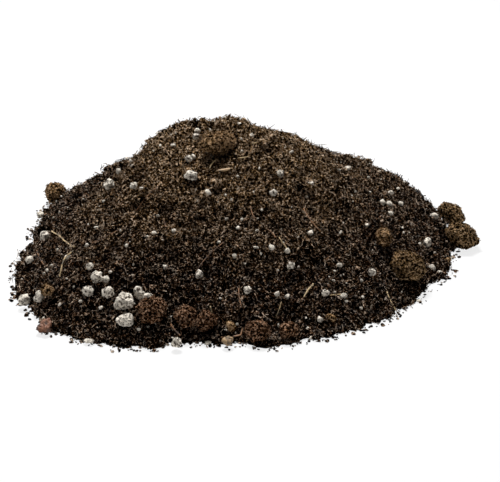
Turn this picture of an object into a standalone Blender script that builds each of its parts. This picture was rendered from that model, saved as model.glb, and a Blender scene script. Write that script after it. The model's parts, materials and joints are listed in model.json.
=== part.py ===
"""A heap of potting compost as it stands on a table.

Dark peat fibre makes the mass. Clods, perlite granules, straws and bark chips are seated in it.
Lengths are in metres, +Z is up, the table is the plane z = 0, and the heap's front faces -Y.
A place on the heap is a bearing in degrees round the crown, from +X towards +Y, and a share of
the way down from the crown to the foot.
"""

import math
from collections import namedtuple

import bmesh
import bpy
from mathutils import Matrix, Vector, noise

# The mass: its height at the crown, and how far its foot reaches at each 30 degrees of bearing
HEAP_HEIGHT = 0.0490
FOOT_HEIGHT = 0.0025
REACH_000 = 0.0930
REACH_030 = 0.092
REACH_060 = 0.080
REACH_090 = 0.074
REACH_120 = 0.074
REACH_150 = 0.081
REACH_180 = 0.074
REACH_210 = 0.086
REACH_240 = 0.0955
REACH_270 = 0.086
REACH_300 = 0.090
REACH_330 = 0.0900
FOOT_REACHES = (
    REACH_000,
    REACH_030,
    REACH_060,
    REACH_090,
    REACH_120,
    REACH_150,
    REACH_180,
    REACH_210,
    REACH_240,
    REACH_270,
    REACH_300,
    REACH_330,
)

# The slope runs from a rounded crown to a thin toe
CROWN_ROUNDING = 1.5
TOE_ROUNDING = 1.1

# Lumps in the mass: how far apart they stand and how high they rise
LUMP_SPACING = 0.0125
LUMP_RISE = 0.0034
CRUMB_SPACING = 0.0075
CRUMB_RISE = 0.0014
FOOT_SCALLOP = 0.0022

# Quads along each side of the grid that becomes the mass, and the clods that get finer faces
MASS_GRID = 32
FINE_CLOD_LENGTH = 0.0132

# Seats: how much of a piece's height lies below the surface, and the gap left round it
GRANULE_SINK = 0.38
CLOD_SINK = 0.42
CHIP_SINK = 0.40
SEAT_GAP = 0.00035

# Knobs stand this far apart, as a share of a piece's size, and rise by these shares of its half size
KNOB_SPACING = 0.31
GRANULE_KNOBS = 0.26
CLOD_KNOBS = 0.18
CHIP_KNOBS = 0.10

# The corners of a chip are broken off by this share of its size
CHIP_BREAK = 0.22

# A straw lies this high over the surface, with this many stretches between two of its places
STRAW_LIFT = 0.0002
STRAW_STEPS = 3

# What lies at the foot stays this high over the table
TABLE_GAP = 0.0001

Lobe = namedtuple("Lobe", "bearing share spread rise")
# Length runs downhill and width along the slope, before the turn. Height stands out of the slope.
Seat = namedtuple("Seat", "name kind bearing share length width height turn")
Straw = namedtuple("Straw", "name kind diameter places")
Finish = namedtuple("Finish", "colour roughness")

LOBES = (
    Lobe(171, 0.33, 0.015, 0.0050),
    Lobe(27, 0.20, 0.014, 0.0020),
    Lobe(161, 0.58, 0.0150, -0.0100),
    Lobe(18, 0.84, 0.019, 0.0078),
    Lobe(232, 0.78, 0.016, 0.0030),
)

CLODS = (
    Seat("clod_crown", "golden_peat", 271, 0.17, 0.0200, 0.0088, 0.0078, 132),
    Seat("clod_front_large", "red_peat", 255, 0.89, 0.0110, 0.0105, 0.0100, 0),
    Seat("clod_front_left", "red_peat", 263, 0.91, 0.0080, 0.0088, 0.0072, 0),
    Seat("clod_front_middle", "red_peat", 268, 0.93, 0.0080, 0.0082, 0.0074, 30),
    Seat("clod_front_low", "red_peat", 280, 0.98, 0.0080, 0.0092, 0.0074, 0),
    Seat("clod_front_right", "red_peat", 287, 0.98, 0.0066, 0.0070, 0.0060, 20),
    Seat("clod_right_low", "olive_peat", 328, 0.90, 0.0135, 0.0125, 0.0095, 30),
    Seat("clod_right_ridge", "golden_peat", 331, 0.77, 0.0110, 0.0062, 0.0062, -60),
    Seat("clod_right_tip", "olive_peat", 356, 1.02, 0.0140, 0.0110, 0.0090, 10),
    Seat("clod_right_back", "olive_peat", 9, 1.01, 0.0130, 0.0105, 0.0085, 150),
    Seat("clod_left_back", "golden_peat", 151, 0.97, 0.0095, 0.0100, 0.0092, 30),
    Seat("clod_left_small", "golden_peat", 227, 0.92, 0.0050, 0.0050, 0.0045, 0),
)

GRANULES = (
    Seat("perlite_front_oval", "perlite", 248, 0.86, 0.0062, 0.0068, 0.0060, 0),
    Seat("perlite_front_upper", "perlite", 250, 0.81, 0.0058, 0.0038, 0.0040, 55),
    Seat("perlite_front_double", "perlite", 253, 0.84, 0.0040, 0.0041, 0.0038, 0),
    Seat("perlite_front_low", "perlite", 250, 0.93, 0.0050, 0.0064, 0.0048, 20),
    Seat("perlite_ring_left", "perlite", 238, 0.80, 0.0046, 0.0044, 0.0040, 0),
    Seat("perlite_ring_top", "perlite", 241, 0.80, 0.0026, 0.0028, 0.0024, 0),
    Seat("perlite_ring_low", "perlite", 238, 0.85, 0.0040, 0.0050, 0.0040, 0),
    Seat("perlite_ring_right", "perlite", 243, 0.84, 0.0046, 0.0044, 0.0042, 0),
    Seat("perlite_left_single", "perlite", 234, 0.78, 0.0030, 0.0028, 0.0026, 0),
    Seat("perlite_left_high", "perlite", 202, 0.53, 0.0046, 0.0050, 0.0040, 0),
    Seat("perlite_left_shoulder", "perlite", 225, 0.46, 0.0031, 0.0029, 0.0028, 0),
    Seat("perlite_crown_large", "perlite", 254, 0.36, 0.0042, 0.0050, 0.0040, 0),
    Seat("perlite_crown_low", "perlite", 244, 0.25, 0.0030, 0.0029, 0.0027, 0),
    Seat("perlite_crown_high", "perlite", 232, 0.14, 0.0026, 0.0030, 0.0024, 0),
    Seat("perlite_ridge_large", "perlite", 315, 0.36, 0.0032, 0.0033, 0.0028, 0),
    Seat("perlite_ridge_low", "perlite", 300, 0.45, 0.0031, 0.0029, 0.0027, 0),
    Seat("perlite_middle", "perlite", 265, 0.74, 0.0030, 0.0029, 0.0027, 0),
    Seat("perlite_right_face", "perlite", 293, 0.75, 0.0029, 0.0028, 0.0026, 0),
    Seat("perlite_front_white", "perlite", 279, 0.83, 0.0029, 0.0035, 0.0028, 15),
    Seat("perlite_front_right", "perlite", 299, 0.87, 0.0027, 0.0033, 0.0026, 10),
    Seat("perlite_right_low", "perlite", 316, 0.85, 0.0030, 0.0029, 0.0027, 0),
    Seat("perlite_right_edge", "perlite", 346, 0.89, 0.0036, 0.0038, 0.0034, 0),
    Seat("perlite_foot_grey", "perlite", 262, 1.02, 0.0036, 0.0040, 0.0034, 0),
    Seat("perlite_left_edge", "perlite", 198, 0.85, 0.0040, 0.0046, 0.0036, 60),
    Seat("perlite_left_foot", "perlite", 225, 0.95, 0.0042, 0.0039, 0.0038, 0),
    Seat("perlite_left_toe", "perlite", 221, 0.99, 0.0050, 0.0047, 0.0043, 0),
    Seat("perlite_left_grey", "perlite", 207, 0.91, 0.0034, 0.0033, 0.0030, 0),
    Seat("perlite_left_back", "perlite", 165, 0.99, 0.0034, 0.0032, 0.0030, 0),
    Seat("perlite_back_left", "perlite", 120, 0.62, 0.0040, 0.0036, 0.0034, 0),
    Seat("perlite_back_middle", "perlite", 84, 0.40, 0.0032, 0.0030, 0.0028, 0),
    Seat("perlite_back_right", "perlite", 56, 0.76, 0.0044, 0.0040, 0.0036, 30),
    Seat("perlite_back_foot", "perlite", 97, 0.90, 0.0038, 0.0044, 0.0036, 0),
)

CHIPS = (
    Seat("bark_chip_left", "bark", 233, 1.02, 0.0050, 0.0046, 0.0030, 25),
    Seat("husk_front", "husk", 273, 1.02, 0.0030, 0.0034, 0.0022, 40),
    Seat("husk_crown", "husk", 275, 0.30, 0.0013, 0.0058, 0.0009, 8),
)

STRAWS = (
    Straw("straw_left_upper", "straw", 0.00050, ((201, 0.81), (212, 0.76), (223, 0.755))),
    Straw("straw_left_lower", "straw", 0.00050, ((224, 0.77), (225, 0.82), (228, 0.875))),
    Straw("straw_right", "straw", 0.00060, ((297, 0.83), (295, 0.85), (293, 0.875))),
    Straw("root_front_left", "root", 0.00055, ((260, 0.94), (261, 0.96), (262.5, 0.985))),
    Straw("root_front", "root", 0.00055, ((276.5, 0.97), (276, 0.99), (274.3, 0.995))),
)

FINISHES = {
    "peat": Finish((0.045, 0.028, 0.018, 1.0), 0.95),
    "red_peat": Finish((0.095, 0.042, 0.020, 1.0), 0.95),
    "olive_peat": Finish((0.090, 0.062, 0.030, 1.0), 0.95),
    "golden_peat": Finish((0.150, 0.090, 0.035, 1.0), 0.95),
    "perlite": Finish((0.560, 0.530, 0.480, 1.0), 0.85),
    "straw": Finish((0.400, 0.290, 0.150, 1.0), 0.60),
    "root": Finish((0.230, 0.110, 0.045, 1.0), 0.65),
    "bark": Finish((0.170, 0.070, 0.035, 1.0), 0.70),
    "husk": Finish((0.420, 0.270, 0.110, 1.0), 0.60),
}


def clear_scene():
    for obj in list(bpy.data.objects):
        bpy.data.objects.remove(obj)


def new_collection(name):
    collection = bpy.data.collections.new(name)
    bpy.context.scene.collection.children.link(collection)
    return collection


def move_to(obj, collection):
    for held_by in list(obj.users_collection):
        held_by.objects.unlink(obj)
    collection.objects.link(obj)


def material(kind):
    """The material of this kind, made the first time that it is asked for."""
    if kind in bpy.data.materials:
        return bpy.data.materials[kind]
    finish = FINISHES[kind]
    made = bpy.data.materials.new(kind)
    made.use_nodes = True
    shader = made.node_tree.nodes["Principled BSDF"]
    shader.inputs["Base Color"].default_value = finish.colour
    shader.inputs["Roughness"].default_value = finish.roughness
    return made


# The shape of the heap


def foot_reach(bearing):
    """How far the foot stands from the crown's axis: a smooth closed curve through the reaches."""
    step = 360 / len(FOOT_REACHES)
    index, way = divmod(bearing % 360 / step, 1)
    before, here, after, beyond = (
        FOOT_REACHES[(int(index) + offset) % len(FOOT_REACHES)] for offset in (-1, 0, 1, 2)
    )
    leaving = (after - before) / 2
    arriving = (beyond - here) / 2
    return (
        (2 * way**3 - 3 * way**2 + 1) * here
        + (way**3 - 2 * way**2 + way) * leaving
        + (3 * way**2 - 2 * way**3) * after
        + (way**3 - way**2) * arriving
    )


def heading(bearing):
    angle = math.radians(bearing)
    return Vector((math.cos(angle), math.sin(angle), 0))


def surface(bearing, share):
    """The point of the mass's surface at this bearing and share."""
    reach = foot_reach(bearing)
    scallop = FOOT_SCALLOP * noise.noise(heading(bearing) * reach / LUMP_SPACING)
    flat = heading(bearing) * (reach * share + scallop * share**6)
    slope = max(0.0, 1 - share**CROWN_ROUNDING) ** TOE_ROUNDING
    relief = LUMP_RISE * noise.fractal(flat / LUMP_SPACING, 1.0, 2.0, 2)
    relief += CRUMB_RISE * noise.noise(flat / CRUMB_SPACING)
    for lobe in LOBES:
        middle = heading(lobe.bearing) * foot_reach(lobe.bearing) * lobe.share
        away = (flat - middle).length / lobe.spread
        relief += lobe.rise * math.exp(-away * away)
    height = FOOT_HEIGHT + (HEAP_HEIGHT - FOOT_HEIGHT) * slope + relief * (1 - min(share, 1) ** 8)
    return flat + Vector((0, 0, height))


def surface_frame(bearing, share):
    """A surface point with axes there: downhill, along the slope, and out of the surface."""
    step = 0.04
    low = min(share, 1.0)
    turn = math.degrees(step / max(share, step))
    downhill = (surface(bearing, low) - surface(bearing, low - 2 * step)).normalized()
    along = (surface(bearing + turn, low) - surface(bearing - turn, low)).normalized()
    out = downhill.cross(along).normalized()
    if out.z < 0:
        out.negate()
    along = out.cross(downhill).normalized()
    return surface(bearing, share), Matrix((downhill, along, out)).transposed()


def heap_mass(collection):
    """A square grid laid on the heap as rings, with its border dropped to the table and closed."""
    bpy.ops.mesh.primitive_grid_add(x_subdivisions=MASS_GRID, y_subdivisions=MASS_GRID, size=2)
    mass = bpy.context.object
    mass.name = "compost_mass"
    move_to(mass, collection)
    mesh = bmesh.new()
    mesh.from_mesh(mass.data)
    for vertex in mesh.verts:
        share, bearing = ring_place(vertex.co.x, vertex.co.y)
        vertex.co = surface(bearing, share)
    border = [edge for edge in mesh.edges if edge.is_boundary]
    dropped = bmesh.ops.extrude_edge_only(mesh, edges=border)["geom"]
    for part in dropped:
        if isinstance(part, bmesh.types.BMVert):
            part.co.z = 0
    rim = [edge for edge in mesh.edges if edge.is_boundary]
    bmesh.ops.contextual_create(mesh, geom=rim)
    bmesh.ops.recalc_face_normals(mesh, faces=mesh.faces)
    mesh.to_mesh(mass.data)
    mesh.free()
    mass.data.materials.append(material("peat"))
    mass.data.shade_smooth()
    return mass


def ring_place(across, along):
    """Turns a place on the square grid, each way from -1 to 1, into a share and a bearing."""
    share = max(abs(across), abs(along))
    if share == 0:
        return 0.0, 0.0
    if abs(across) >= abs(along):
        bearing = 45 * along / across + (0 if across > 0 else 180)
    else:
        bearing = 90 - 45 * across / along + (0 if along > 0 else 180)
    return share, bearing


# What is seated in the mass


def knobby(obj, seat, knobs, reading):
    """Gives a unit shape its knobs and then its size, in the mesh. Each reading has other knobs."""
    for vertex in obj.data.vertices:
        rise = noise.fractal(vertex.co / KNOB_SPACING + Vector((reading, 0, 0)), 1.0, 2.0, 2)
        grown = vertex.co * (1 + knobs * rise)
        vertex.co = (grown.x * seat.length, grown.y * seat.width, grown.z * seat.height)
    obj.name = seat.name
    obj.data.name = seat.name
    obj.data.materials.append(material(seat.kind))
    obj.data.shade_smooth()


def granule(seat, reading):
    bpy.ops.mesh.primitive_ico_sphere_add(subdivisions=2, radius=0.5)
    knobby(bpy.context.object, seat, GRANULE_KNOBS, reading)
    return bpy.context.object


def clod(seat, reading):
    detail = 3 if seat.length > FINE_CLOD_LENGTH else 2
    bpy.ops.mesh.primitive_ico_sphere_add(subdivisions=detail, radius=0.5)
    knobby(bpy.context.object, seat, CLOD_KNOBS, reading)
    return bpy.context.object


def chip(seat, reading):
    """A flake with broken corners."""
    bpy.ops.mesh.primitive_cube_add(size=1)
    obj = bpy.context.object
    flake = bmesh.new()
    flake.from_mesh(obj.data)
    bmesh.ops.bevel(flake, geom=flake.edges, offset=CHIP_BREAK, segments=1, affect="EDGES")
    flake.to_mesh(obj.data)
    flake.free()
    knobby(obj, seat, CHIP_KNOBS, reading)
    return obj


def rest_on_mass(obj, seat, sink):
    """Turns a piece to the slope and sinks it, but no lower than the table."""
    here, axes = surface_frame(seat.bearing, seat.share)
    turned = axes @ Matrix.Rotation(math.radians(seat.turn), 3, "Z")
    place = Matrix.Translation(here + axes.col[2] * seat.height * (0.5 - sink))
    obj.matrix_world = place @ turned.to_4x4()
    lowest = min((obj.matrix_world @ vertex.co).z for vertex in obj.data.vertices)
    if lowest < TABLE_GAP:
        obj.matrix_world.translation.z += TABLE_GAP - lowest


def straw_mesh(straw, thickness):
    """A straw along the surface through its places, as a closed mesh of this thickness."""
    points = []
    for (bearing, share), (next_bearing, next_share) in zip(straw.places, straw.places[1:]):
        for step in range(STRAW_STEPS):
            way = step / STRAW_STEPS
            turned = bearing + (next_bearing - bearing) * way
            points.append(surface(turned, share + (next_share - share) * way))
    points.append(surface(*straw.places[-1]))
    curve = bpy.data.curves.new(straw.name, "CURVE")
    curve.dimensions = "3D"
    curve.bevel_depth = thickness / 2
    curve.bevel_resolution = 1
    curve.use_fill_caps = True
    spline = curve.splines.new("POLY")
    spline.points.add(len(points) - 1)
    for point, place in zip(spline.points, points):
        point.co = (place.x, place.y, place.z + straw.diameter / 2 + STRAW_LIFT, 1)
    guide = bpy.data.objects.new(straw.name, curve)
    bpy.context.scene.collection.objects.link(guide)
    graph = bpy.context.evaluated_depsgraph_get()
    mesh = bpy.data.meshes.new_from_object(guide.evaluated_get(graph))
    bpy.data.objects.remove(guide)
    closed = bmesh.new()
    closed.from_mesh(mesh)
    bmesh.ops.remove_doubles(closed, verts=closed.verts, dist=0.000001)
    bmesh.ops.recalc_face_normals(closed, faces=closed.faces)
    closed.to_mesh(mesh)
    closed.free()
    return mesh


# Seats


def grown_copy(obj):
    """A copy whose skin stands a seat gap further out."""
    cutter = obj.copy()
    cutter.data = obj.data.copy()
    normals = [vertex.normal.copy() for vertex in cutter.data.vertices]
    for vertex, normal in zip(cutter.data.vertices, normals):
        vertex.co += normal * SEAT_GAP
    return cutter


def box_of(obj):
    corners = [obj.matrix_world @ vertex.co for vertex in obj.data.vertices]
    low = Vector(min(corner[axis] for corner in corners) for axis in range(3))
    high = Vector(max(corner[axis] for corner in corners) for axis in range(3))
    return low, high


def boxes_meet(one, other):
    (low, high), (other_low, other_high) = box_of(one), box_of(other)
    return all(low[axis] < other_high[axis] and other_low[axis] < high[axis] for axis in range(3))


def cut_seat(carrier, cutter):
    seat = carrier.modifiers.new("seat", "BOOLEAN")
    seat.operation = "DIFFERENCE"
    seat.object = cutter


def settle(piece, cutter, heap, cutters):
    """Files a piece with the heap, and its cutter with the cutters."""
    move_to(piece, heap)
    cutter.name = piece.name + "_seat"
    move_to(cutter, cutters)
    cutter.hide_render = True
    cutter.display_type = "WIRE"
    return piece, cutter


def main():
    clear_scene()
    heap = new_collection("compost_heap")
    cutters = new_collection("seat_cutters")
    mass = heap_mass(heap)
    settled = []
    kinds = ((CLODS, clod, CLOD_SINK), (GRANULES, granule, GRANULE_SINK), (CHIPS, chip, CHIP_SINK))
    for seats, shape, sink in kinds:
        for reading, seat in enumerate(seats):
            piece = shape(seat, reading)
            rest_on_mass(piece, seat, sink)
            settled.append(settle(piece, grown_copy(piece), heap, cutters))
    for straw in STRAWS:
        piece = bpy.data.objects.new(straw.name, straw_mesh(straw, straw.diameter))
        piece.data.materials.append(material(straw.kind))
        groove = bpy.data.objects.new(straw.name, straw_mesh(straw, straw.diameter + 2 * SEAT_GAP))
        settled.append(settle(piece, groove, heap, cutters))

    # Each piece seats in the mass and in every piece before it that it lies against
    carriers = [mass]
    for piece, cutter in settled:
        for carrier in carriers:
            if boxes_meet(carrier, cutter):
                cut_seat(carrier, cutter)
        carriers.append(piece)


if __name__ == "__main__":
    main()
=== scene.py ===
"""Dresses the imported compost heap: peat skin, crumbs and fibres, clods, perlite, straws, and the stage.

Lengths are in metres. The front of the heap, the side that the camera sees, faces -Y.
"""

import json
import math
from collections import namedtuple

import bpy
from bpy.props import FloatProperty, FloatVectorProperty, PointerProperty
from mathutils import Matrix, Vector, noise

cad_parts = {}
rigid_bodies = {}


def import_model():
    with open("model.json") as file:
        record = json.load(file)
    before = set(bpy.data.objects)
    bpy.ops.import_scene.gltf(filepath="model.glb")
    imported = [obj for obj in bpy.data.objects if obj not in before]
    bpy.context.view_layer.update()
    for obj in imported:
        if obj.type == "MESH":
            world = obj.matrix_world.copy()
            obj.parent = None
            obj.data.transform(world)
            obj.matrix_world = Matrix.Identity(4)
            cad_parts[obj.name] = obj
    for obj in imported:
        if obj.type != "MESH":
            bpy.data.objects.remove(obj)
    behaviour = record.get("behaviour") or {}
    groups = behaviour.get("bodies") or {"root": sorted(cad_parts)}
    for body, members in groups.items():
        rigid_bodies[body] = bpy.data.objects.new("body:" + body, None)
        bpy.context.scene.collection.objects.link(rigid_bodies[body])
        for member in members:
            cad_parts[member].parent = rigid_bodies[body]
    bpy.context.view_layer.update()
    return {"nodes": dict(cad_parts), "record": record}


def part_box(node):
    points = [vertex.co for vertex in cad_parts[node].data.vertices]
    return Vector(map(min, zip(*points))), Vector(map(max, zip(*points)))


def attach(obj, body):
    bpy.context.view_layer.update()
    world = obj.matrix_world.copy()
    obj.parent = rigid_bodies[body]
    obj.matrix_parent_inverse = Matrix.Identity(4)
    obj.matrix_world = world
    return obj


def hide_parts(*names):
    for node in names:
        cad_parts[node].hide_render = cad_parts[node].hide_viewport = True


bl_info = {
    "name": "Potting compost heap",
    "version": (1, 0, 0),
    "blender": (4, 5, 0),
    "location": "3D View > Sidebar > Compost",
    "description": "Dresses a heap of potting compost with peat, clods, perlite, straws and a stage",
    "category": "Mesh",
}

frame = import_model()
SLOTS = {row["node"]: row["material_slot"] for row in frame["record"]["subparts"]}

# The least height of anything over the table, and that of the skin's rim
TABLE_GAP = 0.0001
RIM_HEIGHT = 4 * TABLE_GAP
# How high the foot's wander reaches, and how far apart its coarse and fine bends lie
TOE_HEIGHT = 0.005
TOE_COARSE = 0.009
TOE_FINE = 0.0032
# How high on the skin the foot's crumbs start, and how far out they lie
FOOT_HEIGHT = 0.0028
FOOT_REACH = 0.0042
# The steepest face that still holds crumbs, as the upward part of its normal
OVERHANG = -0.3
# Granules wider than this get the finest mesh
BIG_GRANULE = 0.0052
# How far small granules and loose straws lie off the skin, above the crumbs
PEBBLE_LIFT = 0.0004
STRAND_LIFT = 0.0017
# How far the husk blade's right end bends up
BLADE_RISE = 0.0012
# How far apart the drawn fibres lie, the reddish and greyish patches, the clumps and the dry patches
TANGLE_SPACING = 0.0014
RED_SPACING = 0.0021
GREY_SPACING = 0.0017
CLUMP_SPACING = 0.0045
DRY_SPACING = 0.011
# Between these heights the peat goes from moist to dry and golden, and grows paler as painted light from
# above
DRY_AND_LIT_FROM = 0.010
DRY_AND_LIT_TO = 0.044
# A clod's pale fibre tips, partly painted glints, lie midway between the palest peat and this many times
# its own tone
TIP_AND_GLINT_GAIN = 4.0
# How many times the peat's colour doubles: at most, where it is dry, in each layer and in the clods.
# The skin and lumps are made far darker than the crumbs and fibres: painted shade of the gaps between
# them.
MOST_DOUBLINGS = 3.6
DRY_AND_LIT_LIFT = 1.6
PEAT_LIFTS = {"skin_peat": -3.0, "lump_peat": -3.2, "crumb_peat": -2.1, "fibre_peat": -1.3}
CLOD_LIFTS = {"red_peat": 0.4, "olive_peat": 0.8, "golden_peat": 1.6}
# How much darker a clod is than the fibres that cover it, and how long they are beside the heap's
CLOD_DEPTH = 1.0
FUZZ_SHARE = 0.7
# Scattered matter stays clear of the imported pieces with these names
GRANULES = ("perlite_", "husk_", "bark_", "straw_", "root_")

LAMP_PLACE = (-0.05, 0.22, 0.62)
LAMP_WIDTH = 0.22
LAMP_DEPTH = 0.16

# One layer of relief: how it is drawn, how far apart its lumps stand and how high they rise
Layer = namedtuple("Layer", "kind spacing rise")
# What is scattered: how many to a square metre, how far its size strays from the usual one, how far
# off the surface it lies, its tilt, and how far it keeps from the granules
Scatter = namedtuple("Scatter", "density spread lift tilt clearance seed")
# A place where the skin lies deeper, in metres
Hollow = namedtuple("Hollow", "place spread depth")
# A small granule: where it lies, how wide it is and its height for that width
Pebble = namedtuple("Pebble", "across along width flatness")
# A loose straw or root: its two ends, its thickness and how far it bends
Loose = namedtuple("Loose", "slot start end thickness bend")

SKIN_RELIEF = (
    Layer("clouds", 0.0055, 0.0009),
    Layer("knobs", 0.0026, 0.0006),
    Layer("clouds", 0.0014, 0.0005),
)
CLOD_RELIEF = (
    Layer("clouds", 0.0050, 0.0009),
    Layer("clouds", 0.0024, 0.0006),
    Layer("clouds", 0.0010, 0.0003),
)
# The pores of a granule, whatever its width
PORE_RELIEF = (Layer("pits", 0.00100, 0.00018), Layer("clouds", 0.00060, 0.00010))

SCATTERS = {
    "peat_lumps": Scatter(11000, 0.4, (-0.0008, 0.0), math.pi, 0.0012, 11),
    "peat_flakes": Scatter(100000, 0.5, (0.0, 0.0005), math.pi, 0.0004, 23),
    "peat_grains": Scatter(225000, 0.5, (0.0, 0.0006), math.pi, 0.0002, 37),
    "foot_crumbs": Scatter(700000, 0.5, (0.0, 0.0), 0.5, 0.0002, 43),
    "peat_fibres": Scatter(250000, 0.5, (0.0001, 0.0011), 0.7, 0.0004, 51),
    "peat_shreds": Scatter(500000, 0.5, (0.0, 0.0008), 0.9, 0.0004, 59),
    "peat_threads": Scatter(42000, 0.4, (0.0003, 0.0013), 0.4, 0.0004, 67),
    "red_peat_fuzz": Scatter(1100000, 0.5, (0.0, 0.0003), 0.6, 0.0001, 81),
    "red_peat_grains": Scatter(1100000, 0.5, (0.0, 0.0003), math.pi, 0.0001, 84),
    "olive_peat_fuzz": Scatter(1100000, 0.5, (0.0, 0.0003), 0.6, 0.0001, 88),
    "olive_peat_grains": Scatter(1100000, 0.5, (0.0, 0.0003), math.pi, 0.0001, 91),
    "golden_peat_fuzz": Scatter(1100000, 0.5, (0.0, 0.0003), 0.6, 0.0001, 95),
    "golden_peat_grains": Scatter(1100000, 0.5, (0.0, 0.0003), math.pi, 0.0001, 98),
    "perlite_specks": Scatter(9000, 0.6, (0.0006, 0.0013), math.pi, 0.0010, 97),
}

HOLLOWS = (
    Hollow((0.001, -0.034, 0.038), 0.0040, 0.0026),
    Hollow((-0.017, -0.078, 0.009), 0.0045, 0.0030),
    Hollow((0.009, -0.080, 0.005), 0.0040, 0.0020),
    Hollow((0.024, -0.079, 0.006), 0.0040, 0.0020),
    Hollow((0.057, -0.036, 0.018), 0.0050, 0.0040),
    Hollow((0.071, -0.054, 0.006), 0.0050, 0.0030),
)

PEBBLES = (
    Pebble(0.019, -0.056, 0.0026, 0.86),
    Pebble(0.007, -0.058, 0.0020, 0.71),
    Pebble(0.014, -0.056, 0.0021, 0.50),
    Pebble(0.033, -0.046, 0.0023, 0.84),
    Pebble(0.044, -0.066, 0.0027, 0.77),
    Pebble(0.045, -0.067, 0.0014, 1.00),
    Pebble(0.003, -0.083, 0.0025, 0.85),
    Pebble(-0.012, -0.076, 0.0020, 0.71),
    Pebble(-0.008, -0.020, 0.0022, 1.00),
    Pebble(-0.017, -0.009, 0.0020, 0.86),
    Pebble(-0.003, -0.035, 0.0027, 0.86),
    Pebble(-0.002, -0.030, 0.0014, 1.00),
    Pebble(-0.002, -0.032, 0.0013, 0.79),
    Pebble(0.034, -0.023, 0.0024, 0.85),
    Pebble(0.050, 0.005, 0.0027, 1.00),
    Pebble(0.025, -0.070, 0.0021, 1.00),
    Pebble(0.066, -0.001, 0.0023, 1.00),
    Pebble(0.070, -0.002, 0.0023, 1.00),
    Pebble(0.062, -0.009, 0.0025, 0.85),
    Pebble(0.065, -0.009, 0.0029, 0.87),
    Pebble(0.065, -0.015, 0.0023, 1.00),
    Pebble(0.084, 0.005, 0.0034, 0.89),
    Pebble(0.091, 0.008, 0.0026, 0.62),
    Pebble(-0.053, -0.048, 0.0025, 0.75),
    Pebble(-0.042, -0.085, 0.0034, 0.43),
    Pebble(-0.002, -0.086, 0.0025, 0.67),
    Pebble(0.043, -0.054, 0.0023, 0.84),
    Pebble(0.045, -0.034, 0.0022, 0.72),
    Pebble(0.055, -0.029, 0.0016, 0.83),
    Pebble(0.049, -0.043, 0.0016, 0.78),
    Pebble(0.051, -0.057, 0.0014, 1.00),
    Pebble(0.041, -0.060, 0.0012, 0.71),
    Pebble(0.041, -0.065, 0.0012, 0.71),
    Pebble(0.021, -0.070, 0.0020, 1.00),
    Pebble(0.051, -0.063, 0.0014, 1.00),
    Pebble(0.036, -0.075, 0.0025, 0.89),
    Pebble(0.079, -0.032, 0.0030, 1.00),
    Pebble(0.082, -0.033, 0.0022, 1.00),
    Pebble(0.075, -0.022, 0.0019, 0.65),
    Pebble(0.072, -0.054, 0.0016, 0.78),
    Pebble(0.081, -0.023, 0.0011, 1.00),
    Pebble(-0.040, 0.025, 0.0030, 0.87),
    Pebble(-0.027, -0.031, 0.0014, 1.00),
    Pebble(0.012, -0.002, 0.0019, 0.65),
    Pebble(0.008, 0.003, 0.0019, 1.00),
    Pebble(-0.009, 0.000, 0.0027, 0.77),
    Pebble(0.027, -0.007, 0.0019, 0.65),
    Pebble(0.032, -0.028, 0.0013, 0.73),
    Pebble(0.016, -0.041, 0.0011, 1.00),
    Pebble(0.009, -0.044, 0.0014, 1.00),
    Pebble(0.008, -0.048, 0.0016, 0.78),
    Pebble(0.001, -0.055, 0.0014, 0.59),
    Pebble(0.015, -0.048, 0.0016, 0.78),
    Pebble(0.025, -0.055, 0.0021, 1.00),
    Pebble(0.025, -0.043, 0.0014, 1.00),
    Pebble(-0.021, -0.042, 0.0014, 1.00),
    Pebble(-0.021, -0.051, 0.0021, 1.00),
    Pebble(-0.015, -0.051, 0.0018, 0.67),
    Pebble(-0.042, -0.024, 0.0013, 0.73),
    Pebble(-0.043, -0.041, 0.0016, 0.78),
    Pebble(-0.046, -0.047, 0.0020, 0.86),
    Pebble(-0.046, -0.071, 0.0015, 0.82),
    Pebble(-0.038, -0.075, 0.0019, 0.85),
    Pebble(-0.053, -0.069, 0.0015, 0.82),
    Pebble(-0.036, -0.064, 0.0014, 1.00),
    Pebble(-0.017, -0.062, 0.0021, 1.00),
    Pebble(0.003, -0.068, 0.0012, 0.71),
    Pebble(0.008, -0.078, 0.0014, 1.00),
    Pebble(-0.059, -0.068, 0.0022, 0.88),
    Pebble(0.010, -0.061, 0.0010, 1.00),
    Pebble(0.002, -0.072, 0.0012, 0.71),
    Pebble(-0.061, -0.050, 0.0011, 1.00),
    Pebble(0.029, -0.058, 0.0010, 1.00),
    Pebble(-0.031, -0.054, 0.0014, 1.00),
    Pebble(-0.007, -0.039, 0.0013, 0.79),
    Pebble(0.005, -0.038, 0.0011, 1.00),
)

SMALL_CLODS = (
    Pebble(0.005, -0.081, 0.0047, 0.95),
    Pebble(0.039, -0.074, 0.0042, 0.80),
    Pebble(0.086, -0.023, 0.0032, 0.90),
)

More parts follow.
